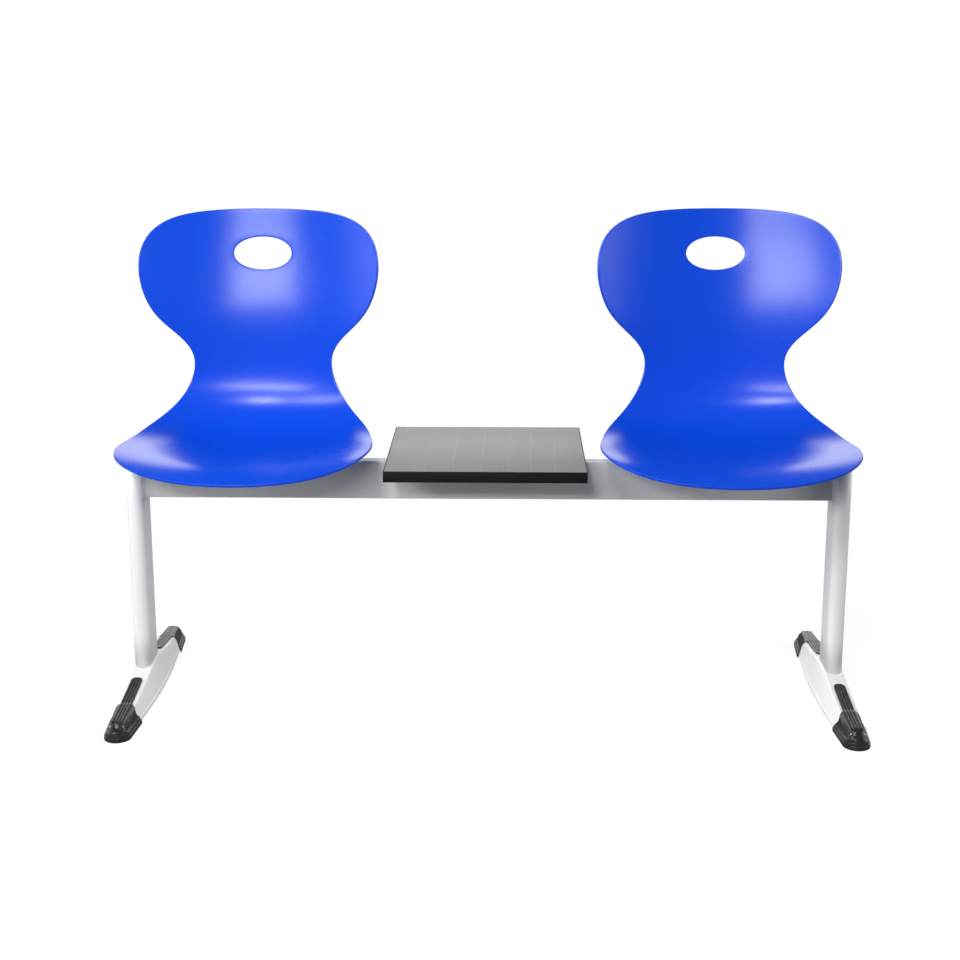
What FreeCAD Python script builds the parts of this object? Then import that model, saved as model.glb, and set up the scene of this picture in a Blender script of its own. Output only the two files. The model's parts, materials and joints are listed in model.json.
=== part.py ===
import FreeCAD, Part
import math
import os

# Two-seat beam bench with a small table board between the seats.
# Millimetres. +Z is up, +Y points to the back of the seats, +X to the sitter's left.
# The origin is on the floor under the middle of the bench.

Vec = FreeCAD.Vector
SIDES = {"left": -1, "right": 1}      # left and right as seen from the front
ENDS = ("front", "rear")

# ---- driving dimensions ----
COLUMN_X = 602.0          # column centre from the middle of the bench
COLUMN_WIDTH = 28.0       # flat-oval tube: across the flats
COLUMN_DEPTH = 76.0       # flat-oval tube: nose to nose
TUBE_WALL = 2.0
BEAM_TOP = 417.0
BEAM_HEIGHT = 65.0
BEAM_DEPTH = 30.0
BEAM_CORNER = 3.0

SEAT_X = 404.5            # middle of each seat shell
SHELL_THICKNESS = 5.0
CAMBER_AT = 200.0         # half width at which SHELL_CAMBER is given
# Middle line of the sitting surface, front lip to top edge, as (y, z) control points of a
# uniform cubic spline. One step along it is one station.
SHELL_PROFILE = [(-219, 429), (-163, 442), (-104, 438), (-45, 432), (14, 427), (72, 427), (130, 439),
                 (173, 478), (186, 535), (185, 594), (191, 652), (203, 710), (214, 768), (221, 827)]
# How far the surface has moved forwards and up (dy, dz) at CAMBER_AT, for each station.
SHELL_CAMBER = [(-4, 6), (1, 14), (4, 18), (2, 20), (-4, 22), (-14, 26), (-26, 29),
                (-37, 25), (-46, 16), (-51, 7), (-54, 1), (-56, 2), (-57, 9), (-58, 21)]
# Half of the hourglass outline, front to top, as (x, station) control points of a closed spline.
SHELL_OUTLINE = [(0, -0.03), (105, 0.17), (194, 0.87), (216, 2.15), (210, 3.93), (194, 5.69), (139, 7.08),
                 (113, 8.37), (147, 9.14), (198, 9.91), (224, 11.80), (155, 12.80), (0, 13.05)]
SHEET_HALF = 240          # the sheet before trimming: half width, and its grid of points
SHEET_COLUMNS = 12
SHEET_ROWS_PER_STATION = 2
OUTLINE_POINTS = 72       # points that the outline's curve goes through
HEIGHT_SEARCH_STEPS = 30
HAND_HOLE_Z = 746.5
HAND_HOLE_HALF_WIDTH = 52.3
HAND_HOLE_HALF_HEIGHT = 28.6

CARRIER_LENGTH = 200.0    # pressed channel bars across the beam, open side down
CARRIER_WIDTH = 30.0
CARRIER_DEPTH = 12.0
CARRIER_WEB = 3.0
CARRIER_FLANGE = 2.5
CARRIER_CORNER = 5.0
CARRIER_EDGE = 1.5
CARRIER_CLEARANCE = 0.3   # between the notched flanges and the beam
SEAT_CARRIER_X = 75.0     # from the middle of the seat
TABLE_CARRIER_X = 110.0   # from the middle of the bench
SCREW_Y = 75.0            # screws in front of and behind the beam

BOARD_WIDTH = 330.0
BOARD_DEPTH = 320.0
BOARD_THICKNESS = 18.0
LAMINATE = 0.8
EDGE_BAND = 2.0

BOSS_RADIUS = 10.0
INSERT_RADIUS = 4.5
INSERT_LENGTH = 6.0
SCREW_RADIUS = 3.0
SCREW_HEAD_RADIUS = 6.0
SCREW_HEAD = 4.0
SCREW_SHORT = 0.5         # the tip stays this much inside the insert
WASHER_RADIUS = 7.0
WASHER = 1.5
WOOD_SCREW_RADIUS = 2.0
WOOD_SCREW_HEAD_RADIUS = 4.0
WOOD_SCREW_HEAD = 2.5
WOOD_SCREW_BITE = 12.0
SOCKET_DEPTH = 1.6
FIT = 0.1                 # radial play of screws and inserts

FOOT_END = 230.0          # pressed foot, half length
FOOT_WALL = 2.0
FOOT_LIFT = 3.0           # the pressing's edge stays clear of the floor
FOOT_HEM = 9.0            # height of the upright hem along the edge
FOOT_HEM_STEP = 1.2
FOOT_CREST_RADIUS = 4.0
# (distance from the column, crest height, crest half width, edge half width)
FOOT_STATIONS = [(0, 50.5, 16, 31.5), (40, 47.8, 16, 31), (80, 41, 15.8, 29.6),
                 (160, 31, 14.5, 24), (FOOT_END, 24, 11.5, 17)]

CAP_TOE = 246.0           # moulded foot cap, from the column's middle to the toe
CAP_BACK = 162.0          # where the shoe of the cap starts
CAP_HALF_WIDTH = 27.0     # at its back; it tapers to CAP_TOE_RADIUS
CAP_TOE_RADIUS = 22.5
CAP_RIM = 8.0
CAP_RIM_ROUND = 1.2
CAP_STEP_TOP = 12.5
CAP_STEP = 2.5
CAP_SKIN = 3.0            # plastic over the metal crest
HOOD_FOOT_INSET = 4.5     # the hood above the step, and how far it has drawn in at HOOD_TOP
HOOD_INSET = 10.0
HOOD_TOP = 40.0
CAP_NOSE_Y = 229.0
# the shoe's own hood, given like the stations of the foot
HOOD_STATIONS = [(CAP_BACK, 33.8, 16, 26), (CAP_TOE, 27, 14, 22)]
CAP_NOSE_RADIUS = 9.0
CAP_NOSE_TOP = 21.5
CAP_NOSE_ROUND = 2.5
STRIP_TIP = 71.0
STRIP_HALF = 9.7
RIB_PITCH = 4.8
RIB_HALF = 0.8
RIB_DEPTH = 1.2
RIB_START = 83.0
RIB_END = 225.0
PEG_RADIUS = 3.0
PEG_LENGTH = 7.0
PEG_Y = (95.0, 140.0)
CAP_FIT = 0.2

PLUG_FLANGE = 2.0
PLUG_DEPTH = 15.0
PLUG_WALL = 2.0
PLUG_FIT = 0.3
PLUG_ROUND = 1.0

CARRIER_TOP = BEAM_TOP + CARRIER_WEB
BOARD_TOP = CARRIER_TOP + BOARD_THICKNESS
FAR = 1000.0              # longer than anything that a cutter goes through


def save(name, shape):
    """Write one sub-part."""
    shape.exportStep("parts/%s.step" % name)


def block(x0, x1, y0, y1, z0, z1):
    return Part.makeBox(x1 - x0, y1 - y0, z1 - z0, Vec(x0, y0, z0))


def rod(radius, x, y, z0, z1):
    return Part.makeCylinder(radius, z1 - z0, Vec(x, y, z0), Vec(0, 0, 1))


def moved(shape, x, y=0.0, z=0.0):
    copy = shape.copy()
    copy.translate(Vec(x, y, z))
    return copy


def cubic_blend(points, fraction):
    """Uniform cubic spline between the middle two of four points."""
    f = fraction
    weights = ((1 - f) ** 3, 3 * f ** 3 - 6 * f ** 2 + 4, -3 * f ** 3 + 3 * f ** 2 + 3 * f + 1, f ** 3)
    return [sum(w * p[axis] for w, p in zip(weights, points)) / 6.0 for axis in (0, 1)]


def open_spline(points, station):
    """A spline that starts and ends on its end points, and runs on straight past them."""
    first = [2 * points[0][axis] - points[1][axis] for axis in (0, 1)]
    last = [2 * points[-1][axis] - points[-2][axis] for axis in (0, 1)]
    padded = [first] + list(points) + [last]
    index = min(max(int(math.floor(station)), 0), len(points) - 2)
    fraction = min(max(station - index, 0.0), 1.0)
    value = cubic_blend(padded[index:index + 4], fraction)
    overrun = station - index - fraction
    step = [padded[index + 3][a] - padded[index + 2][a] if overrun > 0 else
            padded[index + 1][a] - padded[index][a] for a in (0, 1)]
    return [value[a] + overrun * step[a] for a in (0, 1)]


def closed_spline(half, count):
    """Points of the closed, mirror-symmetric spline around a half outline."""
    whole = list(half) + [(-x, s) for x, s in reversed(half[1:-1])]
    size = len(whole)
    result = []
    for i in range(count):
        place = size * i / count
        index = int(place)
        four = [whole[(index + k) % size] for k in (-1, 0, 1, 2)]
        result.append(cubic_blend(four, place - index))
    return result


def shell_point(x, station):
    """A point of the sitting surface, x from the middle of the seat."""
    y, z = open_spline(SHELL_PROFILE, station)
    dy, dz = open_spline(SHELL_CAMBER, station)
    bend = (x / CAMBER_AT) ** 2
    return Vec(x, y + dy * bend, z + dz * bend)


def shell_sheet():
    """The pressed sheet before it is trimmed: sitting surface and back surface."""
    columns = [SHEET_HALF * (2 * i / SHEET_COLUMNS - 1) for i in range(SHEET_COLUMNS + 1)]
    steps = SHEET_ROWS_PER_STATION * len(SHELL_PROFILE)
    rows = [(i - 1) / SHEET_ROWS_PER_STATION for i in range(steps + 1)]
    surface = Part.BSplineSurface()
    surface.interpolate([[shell_point(x, row) for row in rows] for x in columns])
    sheet = surface.toShape().makeOffsetShape(SHELL_THICKNESS, 0.01, fill=True)
    if sheet.BoundBox.ZMin > surface.toShape().BoundBox.ZMin - 1:
        sheet = surface.toShape().makeOffsetShape(-SHELL_THICKNESS, 0.01, fill=True)
    return sheet


def shell_trim():
    """A prism round the outline, seen from the front and above at 45 degrees."""
    view = Vec(0, 1, -1).normalize()
    points = []
    for x, station in closed_spline(SHELL_OUTLINE, OUTLINE_POINTS):
        point = shell_point(x, station)
        points.append(point - view * (point.dot(view) + FAR))
    curve = Part.BSplineCurve()
    curve.interpolate(Points=points, PeriodicFlag=True)
    face = Part.Face(Part.Wire([curve.toShape()]))
    return face.extrude(view * (2 * FAR))


def surface_height(x, y):
    """Height of the sitting surface at a place on the seat, between stations 0 and 7."""
    low, high = 0.0, 6.0
    for _ in range(HEIGHT_SEARCH_STEPS):
        middle = 0.5 * (low + high)
        if shell_point(x, middle).y < y:
            low = middle
        else:
            high = middle
    return shell_point(x, low).z


def screw_places(offset):
    return [(sx * offset, sy * SCREW_Y) for sx in (-1, 1) for sy in (-1, 1)]


def seat_shell():
    """One-piece seat and back: hourglass outline, hand hole and four screw bosses below."""
    shell = shell_sheet().common(shell_trim())
    ellipse = Part.Ellipse(Vec(0, 0, HAND_HOLE_Z), HAND_HOLE_HALF_WIDTH, HAND_HOLE_HALF_HEIGHT).toShape()
    ellipse.rotate(Vec(0, 0, HAND_HOLE_Z), Vec(1, 0, 0), 90)
    hole = Part.Face(Part.Wire([ellipse])).extrude(Vec(0, FAR, 0))
    shell = shell.cut(hole)
    for x, y in screw_places(SEAT_CARRIER_X):
        middle_of_sheet = surface_height(x, y) - 0.5 * SHELL_THICKNESS
        shell = shell.fuse(rod(BOSS_RADIUS, x, y, CARRIER_TOP, middle_of_sheet))
        shell = shell.cut(rod(INSERT_RADIUS + FIT, x, y, CARRIER_TOP - 1, CARRIER_TOP + INSERT_LENGTH))
    return shell


def insert_set():
    """Four threaded inserts in the shell's bosses."""
    rings = []
    for x, y in screw_places(SEAT_CARRIER_X):
        outer = rod(INSERT_RADIUS, x, y, CARRIER_TOP, CARRIER_TOP + INSERT_LENGTH)
        bore = rod(SCREW_RADIUS + FIT, x, y, CARRIER_TOP - 1, CARRIER_TOP + INSERT_LENGTH + 1)
        rings.append(outer.cut(bore))
    return Part.makeCompound(rings)


def hexagon(radius, x, y, z0, z1):
    angles = [math.radians(60 * i) for i in range(7)]
    corners = [Vec(x + radius * math.cos(a), y + radius * math.sin(a), z0) for a in angles]
    return Part.Face(Part.makePolygon(corners)).extrude(Vec(0, 0, z1 - z0))


def screw_set(places, radius, head_radius, head, top, underside):
    """Domed-head socket screws put in from below."""
    screws = []
    for x, y in places:
        cap = rod(head_radius, x, y, underside - head, underside)
        rim = [edge for edge in cap.Edges if abs(edge.CenterOfMass.z - (underside - head)) < 0.01]
        cap = cap.makeFillet(0.5 * head, rim[:1])
        cap = cap.cut(hexagon(0.45 * head_radius, x, y, underside - head - 1, underside - head + SOCKET_DEPTH))
        screws.append(cap.fuse(rod(radius, x, y, underside, top)).removeSplitter())
    return Part.makeCompound(screws)


def washer_set():
    rings = []
    for x, y in screw_places(SEAT_CARRIER_X):
        ring = rod(WASHER_RADIUS, x, y, BEAM_TOP - WASHER, BEAM_TOP)
        rings.append(ring.cut(rod(SCREW_RADIUS + 2 * FIT, x, y, BEAM_TOP - WASHER - 1, BEAM_TOP + 1)))
    return Part.makeCompound(rings)


def carrier(hole_radius):
    """Channel bar across the beam: its flanges are notched to clear the beam."""
    half_length = 0.5 * CARRIER_LENGTH
    half_width = 0.5 * CARRIER_WIDTH
    low = CARRIER_TOP - CARRIER_DEPTH
    bar = block(-half_width, half_width, -half_length, half_length, low, CARRIER_TOP)
    upright = [e for e in bar.Edges if abs(e.Vertexes[0].Z - e.Vertexes[-1].Z) > 1]
    bar = bar.makeFillet(CARRIER_CORNER, upright)
    long_edges = [e for e in bar.Edges if e.Length > half_length and abs(e.CenterOfMass.z - CARRIER_TOP) < 0.01]
    bar = bar.makeFillet(CARRIER_EDGE, long_edges)
    inside = half_width - CARRIER_FLANGE
    bar = bar.cut(block(-inside, inside, -FAR, FAR, low - 1, BEAM_TOP))
    notch = 0.5 * BEAM_DEPTH + CARRIER_CLEARANCE
    bar = bar.cut(block(-FAR, FAR, -notch, notch, low - 1, BEAM_TOP))
    for sy in (-1, 1):
        bar = bar.cut(rod(hole_radius, 0, sy * SCREW_Y, low, CARRIER_TOP + 1))
    return bar


def rounded_tube(length, depth, height, corner, wall):
    """Rectangular tube along X, centred on its axis."""
    def bar(half_depth, half_height, radius):
        solid = block(-0.5 * length, 0.5 * length, -half_depth, half_depth, -half_height, half_height)
        edges = [e for e in solid.Edges if e.Length > 0.9 * length]
        return solid.makeFillet(radius, edges)
    outer = bar(0.5 * depth, 0.5 * height, corner)
    inner = bar(0.5 * depth - wall, 0.5 * height - wall, corner - 0.5 * wall)
    return outer.cut(inner)


def beam():
    length = 2 * COLUMN_X - COLUMN_WIDTH
    tube = rounded_tube(length, BEAM_DEPTH, BEAM_HEIGHT, BEAM_CORNER, TUBE_WALL)
    return moved(tube, 0, 0, BEAM_TOP - 0.5 * BEAM_HEIGHT)


def flat_oval(inset, z0, z1):
    """Upright flat-oval bar, its flats facing +X and -X."""
    radius = 0.5 * COLUMN_WIDTH - inset
    straight = 0.5 * (COLUMN_DEPTH - COLUMN_WIDTH)
    noses = [rod(radius, 0, sy * straight, z0, z1) for sy in (-1, 1)]
    return block(-radius, radius, -straight, straight, z0, z1).fuse(noses).removeSplitter()


def column():
    """Upright tube, cut at the bottom to sit on the crest of the foot."""
    tube = flat_oval(0, FOOT_HEM, BEAM_TOP).cut(flat_oval(TUBE_WALL, 0, BEAM_TOP + 1))
    tube = tube.cut(foot_form(0))
    return max(tube.Solids, key=lambda solid: solid.BoundBox.ZMax)


def column_plug():
    """Push-in plug that closes the open top of a column."""
    flange = flat_oval(0, BEAM_TOP, BEAM_TOP + PLUG_FLANGE)
    top_edges = [e for e in flange.Edges if abs(e.BoundBox.ZMin - BEAM_TOP - PLUG_FLANGE) < 0.01]
    flange = flange.makeFillet(PLUG_ROUND, top_edges)
    inset = TUBE_WALL + PLUG_FIT
    spigot = flat_oval(inset, BEAM_TOP - PLUG_DEPTH, BEAM_TOP)
    spigot = spigot.cut(flat_oval(inset + PLUG_WALL, BEAM_TOP - PLUG_DEPTH - 1, BEAM_TOP))
    return flange.fuse(spigot).removeSplitter()


def foot_section(y, crest, crest_half, edge_half, grow, low):
    """Closed cross-section of the pressed foot at one place along it."""
    top = crest + grow
    half_top = crest_half + grow
    half_low = edge_half + grow
    hem = FOOT_HEM
    slope = Vec(half_low - FOOT_HEM_STEP - half_top, 0, hem - top).normalize()
    radius = FOOT_CREST_RADIUS
    cut_back = radius * math.tan(0.5 * math.acos(slope.x))
    edges = []
    for side in (1, -1):
        corner = Vec(side * half_top, y, top)
        along = Vec(side * slope.x, 0, slope.z)
        on_crest = corner - Vec(side * cut_back, 0, 0)
        on_side = corner + along * cut_back
        inward = (Vec(-side, 0, 0) + along).normalize()
        middle = corner + inward * (radius / math.cos(0.5 * math.acos(slope.x)) - radius)
        knee = Vec(side * (half_low - FOOT_HEM_STEP), y, hem)
        hem_top = Vec(side * half_low, y, hem - FOOT_HEM_STEP)
        foot = Vec(side * half_low, y, low)
        half = [Part.Arc(on_crest, middle, on_side).toShape(), Part.LineSegment(on_side, knee).toShape(),
                Part.LineSegment(knee, hem_top).toShape(), Part.LineSegment(hem_top, foot).toShape()]
        edges.append((on_crest, foot, half))
    (crest_a, foot_a, half_a), (crest_b, foot_b, half_b) = edges
    bottom = Part.LineSegment(foot_a, foot_b).toShape()
    ridge = Part.LineSegment(crest_b, crest_a).toShape()
    return Part.Wire(half_a + [bottom] + list(reversed(half_b)) + [ridge])


def foot_form(grow, low=FOOT_LIFT):
    """Solid shape of the foot along Y, its surface moved out by grow."""
    stations = [(-d, h, a, b) for d, h, a, b in reversed(FOOT_STATIONS[1:])] + FOOT_STATIONS
    sections = []
    for d, crest, crest_half, edge_half in stations:
        at = math.copysign(FOOT_END + grow, d) if abs(d) == FOOT_END else d
        sections.append(foot_section(at, crest, crest_half, edge_half, grow, low))
    return Part.makeLoft(sections, True, False)


def hood_form(grow):
    """Solid shape of the shoe's hood before its toe is rounded."""
    sections = [foot_section(-d, crest, crest_half, edge_half, grow, CAP_RIM - 1)
                for d, crest, crest_half, edge_half in HOOD_STATIONS]
    return Part.makeLoft(sections, True, True)


def crest_height(distance):
    """Height of the metal crest, by straight lines between the stations."""
    for (d0, h0, _, _), (d1, h1, _, _) in zip(FOOT_STATIONS, FOOT_STATIONS[1:]):
        if distance <= d1:
            return h0 + (h1 - h0) * (distance - d0) / (d1 - d0)


def foot():
    """Pressed sheet-metal foot, open below, with holes for the caps' pegs."""
    pressing = foot_form(0).cut(foot_form(-FOOT_WALL, -FOOT_HEM))
    for y in PEG_Y:
        for sy in (-1, 1):
            hole = rod(PEG_RADIUS + CAP_FIT, 0, sy * y, crest_height(y) - PEG_LENGTH, FAR)
            pressing = pressing.cut(hole)
    return pressing


def toe_outline(inset, z):
    """Outline of the shoe moved inwards: tapering sides and a round toe towards -Y."""
    radius = CAP_TOE_RADIUS - inset
    half_back = CAP_HALF_WIDTH - inset
    round_from = -(CAP_TOE - CAP_TOE_RADIUS)
    right = Vec(radius, round_from, z)
    left = Vec(-radius, round_from, z)
    back_right = Vec(half_back, -CAP_BACK, z)
    back_left = Vec(-half_back, -CAP_BACK, z)
    return Part.Wire([Part.LineSegment(back_right, right).toShape(),
                      Part.Arc(right, Vec(0, round_from - radius, z), left).toShape(),
                      Part.LineSegment(left, back_left).toShape(),
                      Part.LineSegment(back_left, back_right).toShape()])


def toe_plate(inset, z0, z1):
    return Part.Face(toe_outline(inset, z0)).extrude(Vec(0, 0, z1 - z0))


def cap_strip():
    """Round-ended strip that lies along the crest towards the column."""
    bar = block(-STRIP_HALF, STRIP_HALF, -CAP_BACK - CAP_STEP, -STRIP_TIP - STRIP_HALF, FOOT_HEM, FAR)
    bar = bar.fuse(rod(STRIP_HALF, 0, -STRIP_TIP - STRIP_HALF, FOOT_HEM, FAR)).removeSplitter()
    return bar.common(foot_form(CAP_SKIN))


def rib_grooves():
    """Three grooves along the strip and the hood; their floor follows the top."""
    grooves = [block(x - RIB_HALF, x + RIB_HALF, -RIB_END, -RIB_START, CAP_NOSE_TOP, FAR)
               for x in (-RIB_PITCH, 0, RIB_PITCH)]
    return Part.makeCompound(grooves).cut(foot_form(CAP_SKIN - RIB_DEPTH)).cut(hood_form(-RIB_DEPTH))


def foot_cap():
    """Moulded cap for the front end: stepped shoe with a sole, ribbed strip and two pegs."""
    rim = toe_plate(0, 0, CAP_RIM)
    outer = [e for e in rim.Edges if e.BoundBox.ZLength < 0.01 and e.BoundBox.YMin < -CAP_BACK - 1]
    rim = rim.makeFillet(CAP_RIM_ROUND, outer)
    step = toe_plate(CAP_STEP, CAP_RIM - 1, CAP_STEP_TOP)
    tapered = Part.makeLoft([toe_outline(HOOD_FOOT_INSET, CAP_RIM), toe_outline(HOOD_INSET, HOOD_TOP)],
                            True, True)
    hood = tapered.common(hood_form(0))
    nose = rod(CAP_NOSE_RADIUS, 0, -CAP_NOSE_Y, CAP_RIM, CAP_NOSE_TOP)
    nose = nose.makeFillet(CAP_NOSE_ROUND, [e for e in nose.Edges if e.BoundBox.ZMin > CAP_NOSE_TOP - 0.01])
    cap = rim.fuse([step, hood, nose, cap_strip()])
    cap = cap.cut(foot_form(CAP_FIT)).cut(rib_grooves())
    for y in PEG_Y:
        cap = cap.fuse(rod(PEG_RADIUS, 0, -y, crest_height(y) - PEG_LENGTH, crest_height(y) + 0.5 * CAP_SKIN))
    return cap.removeSplitter()


def board_core():
    """Chipboard core with pilot holes for the wood screws."""
    half_x = 0.5 * BOARD_WIDTH - EDGE_BAND
    half_y = 0.5 * BOARD_DEPTH - EDGE_BAND
    core = block(-half_x, half_x, -half_y, half_y, CARRIER_TOP + LAMINATE, BOARD_TOP - LAMINATE)
    return cut_pilot_holes(core)


def board_laminate(z0):
    half_x = 0.5 * BOARD_WIDTH - EDGE_BAND
    half_y = 0.5 * BOARD_DEPTH - EDGE_BAND
    return block(-half_x, half_x, -half_y, half_y, z0, z0 + LAMINATE)


def cut_pilot_holes(shape):
    for x, y in screw_places(TABLE_CARRIER_X):
        shape = shape.cut(rod(WOOD_SCREW_RADIUS + FIT, x, y, BEAM_TOP, CARRIER_TOP + WOOD_SCREW_BITE + 1))
    return shape


def edge_band_long():
    """Edge band along the front of the board; it covers the ends of the short bands."""
    half_x = 0.5 * BOARD_WIDTH
    front = -0.5 * BOARD_DEPTH
    return block(-half_x, half_x, front, front + EDGE_BAND, CARRIER_TOP, BOARD_TOP)


def edge_band_short():
    """Edge band along the right side of the board."""
    side = 0.5 * BOARD_WIDTH
    half_y = 0.5 * BOARD_DEPTH - EDGE_BAND
    return block(side - EDGE_BAND, side, -half_y, half_y, CARRIER_TOP, BOARD_TOP)


def mirrored(shape, normal):
    return shape.mirror(Vec(0, 0, 0), normal)


def main():
    os.makedirs("parts", exist_ok=True)
    save("beam", beam())

    upright = column()
    plug = column_plug()
    pressing = foot()
    front_cap = foot_cap()
    caps = {"front": front_cap, "rear": mirrored(front_cap, Vec(0, 1, 0))}
    shell = seat_shell()
    inserts = insert_set()
    seat_bar = carrier(SCREW_RADIUS + 2 * FIT)
    screws = screw_set(screw_places(SEAT_CARRIER_X), SCREW_RADIUS, SCREW_HEAD_RADIUS, SCREW_HEAD,
                       CARRIER_TOP + INSERT_LENGTH - SCREW_SHORT, BEAM_TOP - WASHER)
    washers = washer_set()
    for side, sx in SIDES.items():
        save("column_" + side, moved(upright, sx * COLUMN_X))
        save("column_plug_" + side, moved(plug, sx * COLUMN_X))
        save("foot_" + side, moved(pressing, sx * COLUMN_X))
        for end in ENDS:
            save("foot_cap_%s_%s" % (end, side), moved(caps[end], sx * COLUMN_X))
        save("seat_shell_" + side, moved(shell, sx * SEAT_X))
        save("shell_inserts_" + side, moved(inserts, sx * SEAT_X))
        save("seat_screws_" + side, moved(screws, sx * SEAT_X))
        save("seat_washers_" + side, moved(washers, sx * SEAT_X))
        save("seat_carrier_%s_outer" % side, moved(seat_bar, sx * (SEAT_X + SEAT_CARRIER_X)))
        save("seat_carrier_%s_inner" % side, moved(seat_bar, sx * (SEAT_X - SEAT_CARRIER_X)))
        save("table_carrier_" + side, moved(carrier(WOOD_SCREW_RADIUS + 2 * FIT), sx * TABLE_CARRIER_X))

    save("table_core", board_core())
    save("table_laminate_top", board_laminate(BOARD_TOP - LAMINATE))
    save("table_laminate_bottom", cut_pilot_holes(board_laminate(CARRIER_TOP)))
    save("edge_band_front", edge_band_long())
    save("edge_band_rear", mirrored(edge_band_long(), Vec(0, 1, 0)))
    save("edge_band_right", edge_band_short())
    save("edge_band_left", mirrored(edge_band_short(), Vec(1, 0, 0)))
    save("table_screws", screw_set(screw_places(TABLE_CARRIER_X), WOOD_SCREW_RADIUS, WOOD_SCREW_HEAD_RADIUS,
                                   WOOD_SCREW_HEAD, CARRIER_TOP + WOOD_SCREW_BITE, BEAM_TOP))


main()
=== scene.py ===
"""Two-seat beam bench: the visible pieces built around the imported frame, and a plain studio."""

import json
import math

import bmesh
import bpy
from bpy.props import FloatProperty, FloatVectorProperty, PointerProperty
from mathutils import Matrix, Vector


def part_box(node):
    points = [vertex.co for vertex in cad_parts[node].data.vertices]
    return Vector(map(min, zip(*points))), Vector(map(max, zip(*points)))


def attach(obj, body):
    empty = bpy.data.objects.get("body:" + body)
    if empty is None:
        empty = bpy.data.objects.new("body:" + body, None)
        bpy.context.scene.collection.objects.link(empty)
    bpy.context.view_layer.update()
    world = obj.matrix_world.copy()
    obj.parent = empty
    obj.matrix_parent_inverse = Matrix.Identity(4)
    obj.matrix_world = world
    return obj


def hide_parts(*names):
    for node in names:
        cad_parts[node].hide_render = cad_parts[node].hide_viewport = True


bl_info = {
    "name": "Two-seat beam bench",
    "version": (1, 0, 0),
    "blender": (4, 5, 0),
    "location": "View3D > Sidebar > Bench",
    "description": "Seat shells, frame, feet, caps and table board of a beam bench, in a plain studio",
    "category": "Object",
}

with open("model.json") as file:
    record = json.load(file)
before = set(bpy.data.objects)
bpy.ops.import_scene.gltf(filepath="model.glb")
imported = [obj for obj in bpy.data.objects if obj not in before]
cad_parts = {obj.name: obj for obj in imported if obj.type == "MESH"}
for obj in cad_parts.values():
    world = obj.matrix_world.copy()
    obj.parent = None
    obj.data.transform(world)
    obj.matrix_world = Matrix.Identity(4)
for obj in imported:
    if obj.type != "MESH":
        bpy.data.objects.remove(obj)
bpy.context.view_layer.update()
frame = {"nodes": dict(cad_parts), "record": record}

MM = 0.001
SEAM = 0.02 * MM          # points closer than this are one
SIDES = {"left": -1, "right": 1}
ENDS = ("front", "rear")


def node_middle(name):
    low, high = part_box(name)
    return (low + high) / 2


COLUMN_X = node_middle("column_right").x
SEAT_X = node_middle("seat_shell_right").x
CARRIER_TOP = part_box("seat_carrier_right_inner")[1].z
SEAT_CARRIER_X = node_middle("seat_carrier_right_outer").x - SEAT_X

# ---- seat shell, millimetres ----
# Middle line of the sitting surface, front lip to top edge, as (y, z) control points of a
# uniform cubic spline. One step along it is one station.
SHELL_PROFILE = [(-219, 429), (-163, 442), (-104, 438), (-45, 432), (14, 427), (72, 427), (130, 439),
                 (173, 478), (186, 535), (185, 594), (191, 652), (203, 710), (214, 768), (221, 827)]
# How far the surface has moved forwards and up (dy, dz) at CAMBER_AT, for each station.
SHELL_CAMBER = [(-4, 6), (1, 14), (4, 18), (2, 20), (-4, 22), (-14, 26), (-26, 29),
                (-37, 25), (-46, 16), (-51, 7), (-54, 1), (-56, 2), (-57, 9), (-58, 21)]
CAMBER_AT = 200.0
# Half of the hourglass outline, front to top, as (x, station) control points of a closed spline.
SHELL_OUTLINE = [(0, -0.03), (105, 0.17), (194, 0.87), (216, 2.15), (210, 3.93), (194, 5.69), (139, 7.08),
                 (113, 8.37), (147, 9.14), (198, 9.91), (224, 11.80), (155, 12.80), (0, 13.05)]
FRONT_CORNER = 1.75       # places along the outline where its front turns into the side
TOP_CORNER = 10.6
HOLE_STATION = 11.625
HOLE_HALF_WIDTH = 52.25
HOLE_HALF_STATIONS = 0.5
SHELL_COLUMNS = 40        # cells across and along the shell
SHELL_ROWS = 84
HOLE_ROW = 74             # row of cells at the middle of the hand hole
HOLE_CELLS = (5, 4)       # half size of the hole in cells
HOLE_SPREAD = 2.4         # how many hole sizes out the mesh is drawn round it
SCREW_Y = 75.0
HEIGHT_SEARCH = (6.0, 30)  # the seat's last station, and halvings of the search
SHELL_HALF_WALL = 2.5
# a screw boss: (radius, height above the carrier), then (radius, depth below the middle of the sheet)
BOSS_BASE = [(0, 6.6), (4.6, 6.6), (4.6, 0), (9.4, 0), (10, 0.6)]
BOSS_FLARE = [(10.5, 7), (11.2, 4.5), (13, 2.5), (16, 1), (0, 0)]
BOSS_STEPS = 32

# ---- beam, columns and board, millimetres ----
TUBE_WALL = 2.0
BEAM_CORNER = 3.0
WELD_RADIUS = 1.5
WELD_SINK = 0.4           # how far the bead's line lies inside the beam's end
WELD_STEP = 1.6
COLUMN_POINTS = (56, 7)   # around and along
COLUMN_SINK = 0.3         # how far a column goes into its foot
EDGE_BAND = 2.0
EDGE_BAND_ROUND = 0.5
LAMINATE_ARRIS = 0.15

# ---- foot and cap, millimetres, measured from the column along Y ----
FOOT_END = 230.0
FOOT_WALL = 2.0
FOOT_LIFT = 3.0
FOOT_HEM = 9.0
FOOT_HEM_STEP = 1.2
FOOT_CREST_RADIUS = 4.0
FOOT_CREST_STEPS = 6
FOOT_EDGE_ROUND = 0.4
FOOT_ROWS = 93
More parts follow.
